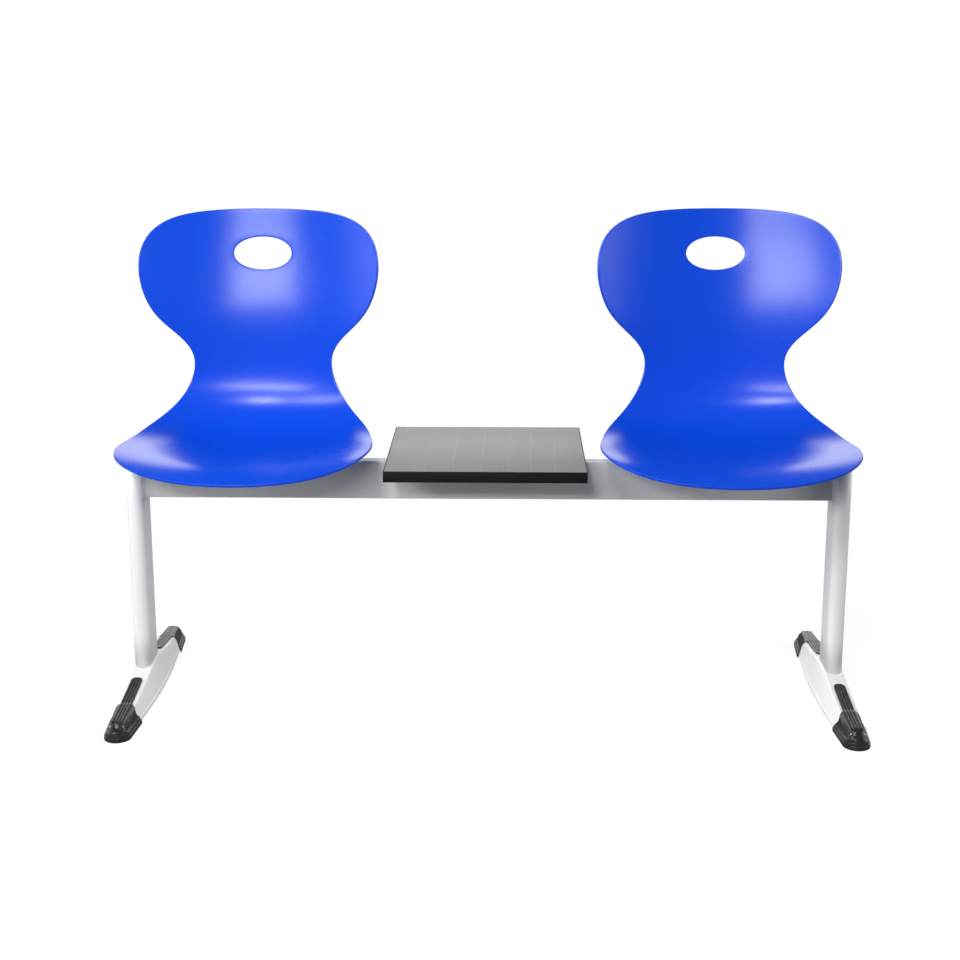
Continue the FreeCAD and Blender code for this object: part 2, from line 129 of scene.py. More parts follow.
# (distance from the column, crest height, crest half width, edge half width)
FOOT_STATIONS = [(0, 50.5, 16, 31.5), (40, 47.8, 16, 31), (80, 41, 15.8, 29.6),
                 (160, 31, 14.5, 24), (FOOT_END, 24, 11.5, 17)]
CAP_TOE = 246.0
CAP_BACK = 162.0
CAP_HALF_WIDTH = 27.0
CAP_TOE_RADIUS = 22.5
CAP_STEP_TOP = 12.5
SHOE_SIDE_STEPS = 9
SHOE_ARC_STEPS = 18
NOSE_STEPS = 40
# the shoe from its sole up: (inset at the sides, height)
SOLE_LEVELS = [(2.0, 0.0), (0.6, 0.0), (0.15, 0.25), (0.0, 0.8), (0.0, 6.4), (0.25, 7.2), (0.9, 7.8),
               (1.8, 8.0), (2.5, 8.0), (2.6, 8.4), (2.7, 11.4), (3.0, 12.1), (3.6, 12.5), (4.4, 12.5)]
# its hood: (inset at the sides, share of the hood's height)
HOOD_LEVELS = [(4.7, 0.02), (6.2, 0.15), (8.0, 0.37), (9.6, 0.60), (10.8, 0.80), (11.6, 0.91), (12.8, 0.98),
               (14.5, 1.0), (19.0, 1.0)]
HOOD_TOPS = (33.8, 28.5)  # at the back and at HOOD_FRONT
HOOD_FRONT = 232.0
HOOD_LEAN = 0.28          # how far the hood's toe leans back
SKIRT = (3.0, 7.0, 3.0)   # back edge: set back, bowed, and forwards again at the top
NOSE_Y = 229.0
NOSE_PROFILE = [(0, 8), (9.4, 8), (9.2, 19.5), (8.8, 20.7), (7.8, 21.4), (6.2, 21.6), (0, 21.8)]
CAP_LEDGE = 8.2           # above this height the cap lies over the foot
CAP_COVER = 1.5
STRIP_TIP = 71.0
STRIP_HALF = 9.7
STRIP_HEIGHT = 3.0
STRIP_END_ROUND = 5.5     # length of the rounding at the nose
STRIP_END_DROP = 0.05     # per square millimetre of that length
STRIP_SIDE = 4.2          # how far its sides reach down
STRIP_ROWS = (10, 40)     # round the tip and along the run
STRIP_TOPS = (34.6, 29.2)  # over the hood, like HOOD_TOPS
GROOVE = [(0.45, 1.2), (0.8, 0.15), (1.05, 0.0)]  # (x from its middle, depth)
RIB_PITCH = 4.8
RIB_START = 83.0
RIB_END = 229.0

# painted shade: the beam's copy of the frame paint is darkened by this share, for the seats' shadow on it
BEAM_PAINTED_SHADE = 0.82        # share of the other tubes' paleness
VEINS_PER_METRE = 20.0    # light lines in the board's grain
VEIN_WAVER = (0.55, 3.0)  # how far they stray, in vein spacings: in short waves and in long ones
VEIN_START = 20.0

# ---- studio, metres and watts: name, place, target, width, height, power ----
LIGHTS = [("key_softbox", (-2.3, -2.1, 2.9), (0.0, 0.0, 0.45), 1.1, 1.1, 34.0),
          ("low_strip", (-0.8, -2.3, 1.36), (-0.2, 0.0, 0.6), 1.5, 0.2, 29.0),
          ("high_left", (-1.5, -5.2, 5.7), (0.0, 0.0, 0.5), 1.2, 1.2, 165.0)]
CAMERA_PLACE = (0.0353, -2.6372, 1.0876)
CAMERA_TURN = (-0.2297, 0.0038, 0.0342)   # radians about X, Y and Z
CAMERA_SHIFT = (0.0270, -0.0525)
FLOOR_SEGMENTS = 96
# how much deeper or paler the record's colours are made, to look right under the lamps
LAMPLIT = {"shell_plastic": 0.93, "frame_paint": 1.2, "cap_plastic": 0.5, "board_laminate": 0.88,
           "edge_plastic": 0.6}


# ---- shader writing ----
class Field:
    """A node socket that can stand in an arithmetic expression."""

    def __init__(self, finish, socket):
        self.finish = finish
        self.socket = socket

    def maths(self, operation, first, second):
        return self.finish.node("ShaderNodeMath", {"operation": operation}, {0: first, 1: second})

    def __add__(self, other):
        return self.maths("ADD", self, other)

    def __mul__(self, other):
        return self.maths("MULTIPLY", self, other)

    def __radd__(self, other):
        return self.maths("ADD", other, self)

    def fraction(self):
        return self.finish.node("ShaderNodeMath", {"operation": "FRACT"}, {0: self})


class Finish:
    """A material in the making: constants go on its surface shader, fields are linked to it."""

    def __init__(self, name, constants):
        self.material = bpy.data.materials.new(name)
        self.material.use_nodes = True
        self.tree = self.material.node_tree
        self.surface = self.tree.nodes["Principled BSDF"]
        for socket, value in constants.items():
            self.surface.inputs[socket].default_value = value

    def node(self, kind, settings=None, inputs=None, output=0):
        """Any node: its settings first, then the values or links of its sockets."""
        made = self.tree.nodes.new(kind)
        for setting, value in (settings or {}).items():
            if setting == "stops":
                ramp = made.color_ramp.elements
                while len(ramp) < len(value):
                    ramp.new(0.5)
                for stop, (place, colour) in zip(ramp, value):
                    stop.position = place
                    stop.color = colour if hasattr(colour, "__len__") else (colour, colour, colour, 1)
            else:
                setattr(made, setting, value)
        for socket, value in (inputs or {}).items():
            self.feed(made.inputs[socket], value)
        return Field(self, made.outputs[output])

    def feed(self, socket, value):
        if isinstance(value, Field):
            self.tree.links.new(value.socket, socket)
        else:
            socket.default_value = value

    def link(self, socket, value):
        self.feed(self.surface.inputs[socket], value)

    def place(self, scale=(1, 1, 1), turn=(0, 0, 0)):
        """Object coordinates, scaled and turned."""
        here = self.node("ShaderNodeTexCoord", output="Object")
        return self.node("ShaderNodeMapping", {}, {"Vector": here, "Scale": scale, "Rotation": turn})

    def noise(self, scale, detail=2.0, place=None, roughness=0.5, distortion=0.0):
        return self.node("ShaderNodeTexNoise", {}, {
            "Vector": place or self.place(), "Scale": scale, "Detail": detail,
            "Roughness": roughness, "Distortion": distortion}, "Fac")

    def ramp(self, field, stops):
        return self.node("ShaderNodeValToRGB", {"stops": stops}, {"Fac": field}, "Color")

    def blend(self, share, first, second):
        """Mix of two colours."""
        return self.node("ShaderNodeMix", {"data_type": "RGBA"}, {0: share, 6: first, 7: second}, 2)

    def bump(self, height, distance, strength=1.0):
        self.link("Normal", self.node("ShaderNodeBump", {}, {
            "Height": height, "Distance": distance, "Strength": strength}))

    def speckled(self, colour, amount, scale):
        """A base colour that drifts a little lighter and darker over the piece."""
        darker, lighter = shade(colour, 1 - amount), shade(colour, 1 + amount)
        self.link("Base Color", self.blend(self.noise(scale, 4.0), darker, lighter))


def shade(colour, factor=1.0):
    """The colour times a factor, opaque."""
    return [min(1.0, c * factor) for c in colour[:3]] + [1]


def shell_finish(colour):
    """Moulded polypropylene: fine grain, soft sheen, faint flow marks and rubbed places."""
    finish = Finish("shell_polypropylene", {"IOR": 1.49, "Specular IOR Level": 0.5})
    finish.speckled(colour, 0.05, 5.0)
    drift = finish.noise(7.0, 3.0)
    grain = finish.noise(900.0, 2.0)
    finish.link("Roughness", 0.22 + drift * 0.06 + grain * 0.03)
    coarse = finish.noise(260.0, 2.0)
    finish.bump(grain * 0.7 + coarse * 0.3, 0.00006, 0.6)
    return finish.material


def paint_finish(colour, name="frame_powder_coat"):
    """Light grey powder coat with a fine orange peel."""
    finish = Finish(name, {"IOR": 1.5, "Coat Roughness": 0.25, "Coat Weight": 0.15})
    finish.speckled(colour, 0.02, 9.0)
    peel = finish.noise(520.0, 2.0)
    finish.link("Roughness", 0.34 + finish.noise(14.0, 3.0) * 0.10)
    finish.bump(peel, 0.00005, 0.5)
    return finish.material


def beam_shaded_paint_finish(colour):
    """The same coat made darker: painted shade for the beam, which lies in the seats' shadow."""
    return paint_finish([BEAM_PAINTED_SHADE * channel for channel in colour], "beam_powder_coat_painted_shade")


def cap_finish(colour):
    """Moulded nylon, semi-gloss, with a little dust in its fine grain."""
    finish = Finish("cap_nylon", {"IOR": 1.52, "Specular IOR Level": 0.25})
    dust = finish.ramp(finish.noise(60.0, 5.0), [(0.45, 0.0), (0.8, 1.0)])
    pale = [min(1.0, c + 0.03) for c in colour[:3]] + [1]
    finish.link("Base Color", finish.blend(dust, shade(colour), pale))
    finish.link("Roughness", 0.18 + finish.noise(35.0, 3.0) * 0.12)
    finish.bump(finish.noise(1100.0, 2.0), 0.00004, 0.5)
    return finish.material


def laminate_finish(colour):
    """Grey wood-grain laminate; the grain runs front to back."""
    finish = Finish("board_wood_grain", {"IOR": 1.5, "Specular IOR Level": 0.3})
    long_grain = finish.place((1.0, 0.03, 1.0))
    fibres = finish.noise(300.0, 3.0, long_grain, 0.6)
    bands = finish.noise(34.0, 4.0, long_grain, 0.55, 0.2)
    across = finish.node("ShaderNodeSeparateXYZ", {}, {"Vector": finish.place()}, "X")
    waver = finish.noise(7.0, 1.0, finish.place((1.0, 0.45, 1.0)))
    spread = finish.noise(6.0, 1.0, finish.place((1.0, 0.05, 1.0)))
    line = (across * VEINS_PER_METRE + waver * VEIN_WAVER[0] + spread * VEIN_WAVER[1] + VEIN_START).fraction()
    vein = finish.ramp(line, [(0.0, 0.0), (0.46, 0.0), (0.5, 1.0), (0.54, 0.0), (1.0, 0.0)])
    vein = vein * finish.ramp(finish.noise(11.0, 2.0), [(0.35, 0.15), (0.6, 1.0)])
    grained = finish.blend(bands * 0.6 + fibres * 0.4, shade(colour, 0.76), shade(colour, 1.04))
    finish.link("Base Color", finish.blend(vein * 0.4, grained, shade(colour, 1.45)))
    finish.link("Roughness", 0.36 + bands * 0.14)
    finish.bump(fibres * 0.6 + bands * 0.4, 0.00008, 0.5)
    return finish.material


def chipboard_finish(colour):
    """Pressed wood chips, seen only in the pilot holes."""
    finish = Finish("board_chipboard", {"IOR": 1.45})
    chips = finish.noise(260.0, 5.0, finish.place((1, 0.5, 2.0)), 0.7)
    finish.link("Base Color", finish.blend(chips, shade(colour, 0.6), shade(colour)))
    finish.link("Roughness", 0.75 + chips * 0.15)
    finish.bump(chips, 0.0004, 0.6)
    return finish.material


def plain_finish(name, constants, speckle, roughness, stretch, grain):
    """A maker of plain finishes. speckle is (amount, scale), roughness (least, scale, detail, span) with its
    pattern stretched, and grain (scale, depth, strength)."""
    least, scale, detail, span = roughness
    grain_scale, depth, strength = grain

    def maker(colour):
        finish = Finish(name, constants)
        finish.speckled(colour, *speckle)
        finish.link("Roughness", least + finish.noise(scale, detail, finish.place(stretch)) * span)
        finish.bump(finish.noise(grain_scale, 2.0), depth, strength)
        return finish.material

    return maker


plug_finish = plain_finish("plug_polyethylene", {"IOR": 1.5}, (0.15, 40.0),
                           (0.42, 50.0, 3.0, 0.12), (1, 1, 1), (900.0, 0.00004, 0.5))
edging_finish = plain_finish("board_edging_abs", {"IOR": 1.5, "Specular IOR Level": 0.2}, (0.12, 30.0),
                             (0.38, 45.0, 3.0, 0.12), (1, 1, 1), (800.0, 0.00004, 0.5))
steel_finish = plain_finish("screw_zinc_plate", {"Metallic": 1.0}, (0.08, 120.0),
                            (0.26, 300.0, 3.0, 0.18), (1, 1, 0.15), (700.0, 0.00003, 0.4))
brass_finish = plain_finish("insert_turned_brass", {"Metallic": 1.0}, (0.08, 150.0),
                            (0.28, 500.0, 2.0, 0.2), (0.2, 0.2, 3.0), (900.0, 0.00003, 0.4))


# ---- mesh making ----
def sheet_of_points(bm, columns, rows, place, left_out=None):
    """A grid of columns x rows points, each moved to where place(column, row) says.
    Cells for which left_out(column, row) is true are left out."""
    bmesh.ops.create_grid(bm, x_segments=columns - 1, y_segments=rows - 1, size=1.0)

    def column_and_row(point):
        return (point.x + 1) / 2 * (columns - 1), (point.y + 1) / 2 * (rows - 1)

    if left_out:
        gone = [face for face in bm.faces if left_out(*column_and_row(face.calc_center_median()))]
        bmesh.ops.delete(bm, geom=gone, context="FACES")
    for vert in bm.verts:
        column, row = column_and_row(vert.co)
        vert.co = place(round(column), round(row))


def close_seams(bm):
    """Merges doubles, fills what is still open and turns the faces outwards."""
    bmesh.ops.remove_doubles(bm, verts=bm.verts[:], dist=SEAM)
    open_edges = [edge for edge in bm.edges if edge.is_boundary]
    if open_edges:
        bmesh.ops.holes_fill(bm, edges=open_edges, sides=0)
    bmesh.ops.recalc_face_normals(bm, faces=bm.faces[:])


def face_up(bm):
    """Turns all faces one way, upwards on the whole."""
    bmesh.ops.recalc_face_normals(bm, faces=bm.faces[:])
    if sum(face.normal.z * face.calc_area() for face in bm.faces) < 0:
        bmesh.ops.reverse_faces(bm, faces=bm.faces[:])


def face_away(bm, middle):
    """Turns all faces one way, away from a point."""
    bmesh.ops.recalc_face_normals(bm, faces=bm.faces[:])
    if sum(face.normal.dot(face.calc_center_median() - middle) for face in bm.faces) < 0:
        bmesh.ops.reverse_faces(bm, faces=bm.faces[:])


def box(bm, low, high):
    """A block between two corners."""
    low, high = Vector(low), Vector(high)
    size = high - low
    matrix = Matrix.Translation((low + high) / 2) @ Matrix.Diagonal((*size, 1.0))
    bmesh.ops.create_cube(bm, size=1.0, matrix=matrix)


def soften(bm, edges, width, segments):
    bmesh.ops.bevel(bm, geom=edges, offset=width, offset_type="OFFSET", affect="EDGES",
                    segments=segments, profile=0.5, material=-1)


def turned(bm, profile, centre, steps):
    """A turned shape: (radius, height) profile spun round the upright axis at centre."""
    verts = [bm.verts.new((centre[0] + r, centre[1], z)) for r, z in profile]
    edges = [bm.edges.new(pair) for pair in zip(verts, verts[1:])]
    bmesh.ops.spin(bm, geom=verts + edges, cent=(centre[0], centre[1], 0), axis=(0, 0, 1),
                   angle=2 * math.pi, steps=steps, use_merge=True, use_duplicate=False)


def finished(bm, name, material, replaces=(), smooth_angle=40.0):
    """Makes the piece: an object at the origin that rides on the frame."""
    mesh = bpy.data.meshes.new(name)
    bm.to_mesh(mesh)
    bm.free()
    for polygon in mesh.polygons:
        polygon.use_smooth = True
    mesh.set_sharp_from_angle(angle=math.radians(smooth_angle))
    mesh.materials.append(material)
    piece = bpy.data.objects.new(name, mesh)
    bpy.context.scene.collection.objects.link(piece)
    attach(piece, "root")
    if replaces:
        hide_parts(*replaces)
    return piece


def modify(piece, name, kind, **settings):
    modifier = piece.modifiers.new(name, kind)
    for setting, value in settings.items():
        setattr(modifier, setting, value)


def wall_modifier(piece, thickness):
    modify(piece, "wall", "SOLIDIFY", thickness=thickness, offset=-1.0, use_even_offset=True,
           use_quality_normals=True)


def bevel_modifier(piece, width, segments, angle=50.0):
    modify(piece, "soft_edges", "BEVEL", width=width, segments=segments, limit_method="ANGLE",
           angle_limit=math.radians(angle))


# ---- seat shell ----
def cubic_blend(points, f):
    """Uniform cubic spline between the middle two of four points."""
    weights = ((1 - f) ** 3, 3 * f ** 3 - 6 * f ** 2 + 4, -3 * f ** 3 + 3 * f ** 2 + 3 * f + 1, f ** 3)
    return [sum(w * p[axis] for w, p in zip(weights, points)) / 6.0 for axis in (0, 1)]


def open_spline(points, station):
    """A spline that starts and ends on its end points, and runs on straight past them."""
    first = [2 * points[0][axis] - points[1][axis] for axis in (0, 1)]
    last = [2 * points[-1][axis] - points[-2][axis] for axis in (0, 1)]
    padded = [first] + list(points) + [last]
    index = min(max(int(math.floor(station)), 0), len(points) - 2)
    fraction = min(max(station - index, 0.0), 1.0)
    value = cubic_blend(padded[index:index + 4], fraction)
    overrun = station - index - fraction
    step = [padded[index + 3][a] - padded[index + 2][a] if overrun > 0 else
            padded[index + 1][a] - padded[index][a] for a in (0, 1)]
    return [value[a] + overrun * step[a] for a in (0, 1)]


def outline_point(place):
    """(x, station) on the closed outline; place 0 is the front middle, 12 the top middle."""
    whole = list(SHELL_OUTLINE) + [(-x, s) for x, s in reversed(SHELL_OUTLINE[1:-1])]
    index = math.floor(place)
    four = [whole[(index + k) % len(whole)] for k in (-1, 0, 1, 2)]
    return Vector(cubic_blend(four, place - index))


def shell_point(x, station):
    """A point of the sitting surface, x from the middle of the seat, in millimetres."""
    y, z = open_spline(SHELL_PROFILE, station)
    dy, dz = open_spline(SHELL_CAMBER, station)
    bend = (x / CAMBER_AT) ** 2
    return Vector((x, y + dy * bend, z + dz * bend))


def shell_patch(u, v):
    """(x, station) inside the outline: u from left to right and v from front to top, 0 to 1."""
    halfway = len(SHELL_OUTLINE) - 1
    front = outline_point(FRONT_CORNER * (2 * u - 1))
    top = outline_point(halfway + (halfway - TOP_CORNER) * (1 - 2 * u))
    right = outline_point(FRONT_CORNER + v * (TOP_CORNER - FRONT_CORNER))
    left = Vector((-right.x, right.y))
    front_right = outline_point(FRONT_CORNER)
    top_right = outline_point(TOP_CORNER)
    corners = (1 - v) * Vector(((2 * u - 1) * front_right.x, front_right.y))
    corners += v * Vector(((2 * u - 1) * top_right.x, top_right.y))
    return (1 - v) * front + v * top + (1 - u) * left + u * right - corners


def round_the_hole(u, v):
    """The patch with its lines drawn round the hand hole."""
    across = (u - 0.5) * SHELL_COLUMNS / HOLE_CELLS[0]
    along = (v - HOLE_ROW / SHELL_ROWS) * SHELL_ROWS / HOLE_CELLS[1]
    ring = max(abs(across), abs(along))
    point = shell_patch(u, v)
    if ring < 0.99 or ring > HOLE_SPREAD:
        return point
    across, along = across / ring, along / ring
    on_square = shell_patch(0.5 + across * HOLE_CELLS[0] / SHELL_COLUMNS,
                            (HOLE_ROW + along * HOLE_CELLS[1]) / SHELL_ROWS)
    length = math.hypot(across, along)
    on_ellipse = Vector((HOLE_HALF_WIDTH * across / length,
                         HOLE_STATION + HOLE_HALF_STATIONS * along / length))
    out = (ring - 1) / (HOLE_SPREAD - 1)
    keep = 1 - out * out * (3 - 2 * out)
    return point + keep * (on_ellipse - on_square)


def surface_height(x, y):
    """Height of the sitting surface at a place on the seat, in millimetres."""
    low = 0.0
    high, halvings = HEIGHT_SEARCH
    for _ in range(halvings):
        middle = 0.5 * (low + high)
        if shell_point(x, middle).y < y:
            low = middle
        else:
            high = middle
    return shell_point(x, low).z


def seat_shell(side, settings, material):
    """One-piece seat and back with its hand hole, thick wall and rounded rim."""
    centre = SIDES[side] * SEAT_X
    bm = bmesh.new()

    def place(column, row):
        x, station = round_the_hole(column / SHELL_COLUMNS, row / SHELL_ROWS)
        return shell_point(x, station) * MM + Vector((centre, 0, 0))

    def in_the_hole(column, row):
        return (abs(column - SHELL_COLUMNS / 2) < HOLE_CELLS[0]
                and abs(row - HOLE_ROW) < HOLE_CELLS[1])

    sheet_of_points(bm, SHELL_COLUMNS + 1, SHELL_ROWS + 1, place, in_the_hole)
    face_up(bm)
    piece = finished(bm, "shell_%s" % side, material, ["seat_shell_" + side], 180.0)
    wall_modifier(piece, settings.shell_wall)
    bevel_modifier(piece, settings.rim_round, 2)
    modify(piece, "fine", "SUBSURF", levels=1, render_levels=1)


def shell_bosses(side, material):
    """Four screw bosses below the seat, each widening where it meets the sheet."""
    centre = SIDES[side] * SEAT_X
    bm = bmesh.new()
    for sx in (-1, 1):
        for sy in (-1, 1):
            x, y = sx * SEAT_CARRIER_X / MM, sy * SCREW_Y
            sheet = surface_height(x, y) - SHELL_HALF_WALL
            profile = [(r, CARRIER_TOP / MM + up) for r, up in BOSS_BASE]
            profile += [(r, sheet - down) for r, down in BOSS_FLARE]
            turned(bm, [(r * MM, z * MM) for r, z in profile], (centre + x * MM, y * MM), BOSS_STEPS)
    close_seams(bm)
    finished(bm, "shell_bosses_%s" % side, material)


# ---- frame ----
def foot_station(distance):
    """The foot's measures at a distance, by a curve that passes through each of its stations."""
    distance = abs(distance)
    mirrored = [(-d, *rest) for d, *rest in reversed(FOOT_STATIONS[1:])] + FOOT_STATIONS
    last = len(mirrored) - 1
    index = max(i for i in range(last) if mirrored[i][0] <= distance or i == 0)
    p0, p1, p2, p3 = (mirrored[min(max(index + k, 0), last)] for k in (-1, 0, 1, 2))
    span = p2[0] - p1[0]
    f = (distance - p1[0]) / span
    result = []
    for axis in range(1, len(p1)):
        slope_in = (p2[axis] - p0[axis]) / max(p2[0] - p0[0], 1e-6) * span
        slope_out = (p3[axis] - p1[axis]) / max(p3[0] - p1[0], 1e-6) * span
        result.append((2 * f ** 3 - 3 * f ** 2 + 1) * p1[axis] + (f ** 3 - 2 * f ** 2 + f) * slope_in
                      + (3 * f ** 2 - 2 * f ** 3) * p2[axis] + (f ** 3 - f ** 2) * slope_out)
    return result


def half_section(top, half_top, half_low):
    """Points of half a foot section, from the crest's middle down to the edge."""
    slope = Vector((half_low - FOOT_HEM_STEP - half_top, FOOT_HEM - top)).normalized()
    turn = math.acos(slope.x)
    radius = FOOT_CREST_RADIUS
    back = radius * math.tan(turn / 2)
    points = [Vector((0, top)), Vector(((half_top - back) * 0.5, top))]
    for i in range(FOOT_CREST_STEPS + 1):
        angle = turn * i / FOOT_CREST_STEPS
        x = half_top - back + radius * math.sin(angle)
        points.append(Vector((x, top - radius * (1 - math.cos(angle)))))
    side_top = points[-1]
    knee = Vector((half_low - FOOT_HEM_STEP, FOOT_HEM))
    points += [side_top.lerp(knee, f) for f in (0.25, 0.5, 0.75, 0.93, 1.0)]
    points += [Vector((half_low - 0.35 * FOOT_HEM_STEP, FOOT_HEM - 0.5 * FOOT_HEM_STEP)),
               Vector((half_low, FOOT_HEM - 1.4 * FOOT_HEM_STEP)), Vector((half_low, FOOT_LIFT))]
    return points


def foot_surface(x, y):
    """Height of the foot's surface at a place near its crest, in millimetres."""
    section = half_section(*foot_station(y))
    for a, b in zip(section, section[1:]):
        if a.x <= abs(x) <= b.x:
            return a.y + (b.y - a.y) * (abs(x) - a.x) / max(b.x - a.x, 1e-6)
    return section[-1].y


def foot_half_width(distance, height):
    """Half width of the foot's outside at a height, in millimetres; 0 above its crest."""
    section = half_section(*foot_station(min(abs(distance), FOOT_END)))
    for a, b in zip(section, section[1:]):
        if b.y <= height <= a.y and a.y > b.y:
            return b.x + (a.x - b.x) * (height - b.y) / (a.y - b.y)
    return section[-1].x if height < FOOT_LIFT else 0.0


def foot(side, material):
    """Pressed sheet-metal foot with a rounded crest, flared sides and an upright hem."""
    centre = SIDES[side] * COLUMN_X
    half_count = len(half_section(*FOOT_STATIONS[0][1:]))

    def place(column, row):
        y = FOOT_END * (2 * row / (FOOT_ROWS - 1) - 1)
        section = half_section(*foot_station(y))
        across = column - (half_count - 1)
        point = section[abs(across)]
        return Vector((centre + math.copysign(point.x, across) * MM, y * MM, point.y * MM))

    bm = bmesh.new()
    sheet_of_points(bm, 2 * half_count - 1, FOOT_ROWS, place)
    face_up(bm)
    piece = finished(bm, "foot_pressing_%s" % side, material, ["foot_" + side], 50.0)
    wall_modifier(piece, FOOT_WALL * MM)
    bevel_modifier(piece, FOOT_EDGE_ROUND * MM, 2, 60.0)


def column(side, material):
    """Flat-oval upright, cut at the bottom to the crest of the foot."""
    low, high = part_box("column_" + side)
    radius = (high.x - low.x) / 2
    straight = (high.y - low.y) / 2 - radius
    centre = (low.x + high.x) / 2
    around, heights = COLUMN_POINTS

    def place(column_index, row):
        angle = 2 * math.pi * (column_index + 0.5) / around
        x, y = radius * math.cos(angle), radius * math.sin(angle)
        y += math.copysign(straight, y)
        bottom = (foot_surface(x / MM, y / MM) - COLUMN_SINK) * MM
        z = bottom + (high.z - bottom) * row / (heights - 1)
        return Vector((centre + x, y, z))

    bm = bmesh.new()
    sheet_of_points(bm, around + 1, heights, place)
    bmesh.ops.remove_doubles(bm, verts=bm.verts[:], dist=SEAM)
    face_away(bm, Vector((centre, 0, high.z / 2)))
    piece = finished(bm, "column_tube_%s" % side, material, ["column_" + side])
    wall_modifier(piece, TUBE_WALL * MM)


def beam(material):
    """Rectangular tube with rounded long edges."""
    low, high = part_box("beam")
    bm = bmesh.new()
    box(bm, low, high)
    ends = [face for face in bm.faces if abs(face.normal.x) > 0.9]
    bmesh.ops.delete(bm, geom=ends, context="FACES_ONLY")
    long_edges = [edge for edge in bm.edges if abs(edge.verts[0].co.x - edge.verts[1].co.x) > 0.1]
    soften(bm, long_edges, BEAM_CORNER * MM, 5)
    face_away(bm, (low + high) / 2)
    piece = finished(bm, "beam_tube", material, ["beam"])
    wall_modifier(piece, TUBE_WALL * MM)


def weld_bead(name, points, radius, material):
    """A rippled bead along a closed line of points, made as a tube and kept as a mesh."""
    curve = bpy.data.curves.new(name + "_line", "CURVE")
    curve.dimensions = "3D"
    curve.bevel_depth = radius
    curve.bevel_resolution = 3
    spline = curve.splines.new("POLY")
    spline.points.add(len(points) - 1)
    for i, (spot, point) in enumerate(zip(spline.points, points)):
        spot.co = (*point, 1.0)
        spot.radius = 1.0 + 0.12 * math.cos(math.pi * i) + 0.05 * math.sin(1.7 * i)
    spline.use_cyclic_u = True
    line = bpy.data.objects.new(name + "_line", curve)
    mesh = bpy.data.meshes.new_from_object(line)
    bpy.data.objects.remove(line)
    bpy.data.curves.remove(curve)
    bm = bmesh.new()
    bm.from_mesh(mesh)
    bpy.data.meshes.remove(mesh)
    close_seams(bm)
    finished(bm, name, material, (), 80.0)


def beam_weld(side, material):
    """Bead round the end of the beam, on the column's flat."""
    low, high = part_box("beam")
    x = SIDES[side] * (high.x - WELD_SINK * MM)
    half_y, half_z, radius = (high.y - low.y) / 2, (high.z - low.z) / 2, BEAM_CORNER * MM
    middle_z = (high.z + low.z) / 2
    points = []
    for sy, sz, start in ((1, 1, 0), (-1, 1, 90), (-1, -1, 180), (1, -1, 270)):
        for i in range(5):
            angle = math.radians(start + 22.5 * i)
            points.append((x, sy * (half_y - radius) + radius * math.cos(angle),
                           middle_z + sz * (half_z - radius) + radius * math.sin(angle)))
    dense = []
    for a, b in zip(points, points[1:] + points[:1]):
        a, b = Vector(a), Vector(b)
        steps = max(1, round((b - a).length / (WELD_STEP * MM)))
        dense += [a.lerp(b, i / steps) for i in range(steps)]
    weld_bead("beam_weld_%s" % side, dense, WELD_RADIUS * MM, material)


# ---- foot caps ----
def toe_ring(index, scale, back_y):
    """A point of the shoe's outline from the back right corner round the toe to the back left."""
    round_from = -(CAP_TOE - CAP_TOE_RADIUS)
    total = 2 * SHOE_SIDE_STEPS + SHOE_ARC_STEPS
    mirrored = index > total / 2
    i = total - index if mirrored else index
    if i <= SHOE_SIDE_STEPS:
        f = i / SHOE_SIDE_STEPS
        x = (CAP_HALF_WIDTH + (CAP_TOE_RADIUS - CAP_HALF_WIDTH) * f) * scale
        y = back_y + (round_from - back_y) * f
    else:
        angle = math.pi * (i - SHOE_SIDE_STEPS) / SHOE_ARC_STEPS
        x = CAP_TOE_RADIUS * scale * math.cos(angle)
        y = round_from - CAP_TOE_RADIUS * scale * math.sin(angle)
    return (-x if mirrored else x), y


def hood_height(distance, tops):
    """Height of a line that runs from the hood's back to its front."""
    back, front = tops
    return back + (front - back) * (distance - CAP_BACK) / (HOOD_FRONT - CAP_BACK)


def cap_shoe(bm, centre):
    """Sole rim, step and hood of the cap, one above the other round the same toe."""
    levels = SOLE_LEVELS + HOOD_LEVELS
    set_back, bow, forwards = SKIRT

    def place(column, row):
        in_hood = row >= len(SOLE_LEVELS)
        inset, height = levels[row]
        share = height if in_hood else 0.0
        scale = (CAP_TOE_RADIUS - inset) / CAP_TOE_RADIUS
        # the back edge bows towards the toe half way up the hood
        back_y = -(CAP_BACK + set_back + bow * math.sin(math.pi * min(1.0, share * 1.1)) - forwards * share)
        x, y = toe_ring(column, scale, back_y)
        z = height
        if in_hood:
            z = CAP_STEP_TOP + (hood_height(-y, HOOD_TOPS) - CAP_STEP_TOP) * share
            y += max(0.0, -(CAP_TOE - CAP_TOE_RADIUS) - y) * HOOD_LEAN * share
        if z > CAP_LEDGE:
            least = foot_half_width(y, z) + CAP_COVER
            if y > -FOOT_END and abs(x) < least:
                x = math.copysign(least, x)
        return Vector((centre + x * MM, y * MM, z * MM))

    sheet_of_points(bm, 2 * SHOE_SIDE_STEPS + SHOE_ARC_STEPS + 1, len(levels), place)


def strip_profile():
    """(x, drop) across half of the ribbed strip, from its middle to its side."""
    side = [(STRIP_HALF - 0.9, 0.0), (STRIP_HALF - 0.3, 0.25), (STRIP_HALF, 0.9), (STRIP_HALF, STRIP_SIDE)]
    before = [(RIB_PITCH - x, drop) for x, drop in reversed(GROOVE)]
    after = [(RIB_PITCH + x, drop) for x, drop in GROOVE]
    return [(0.0, GROOVE[0][1]), *GROOVE, *before, *after, *side]


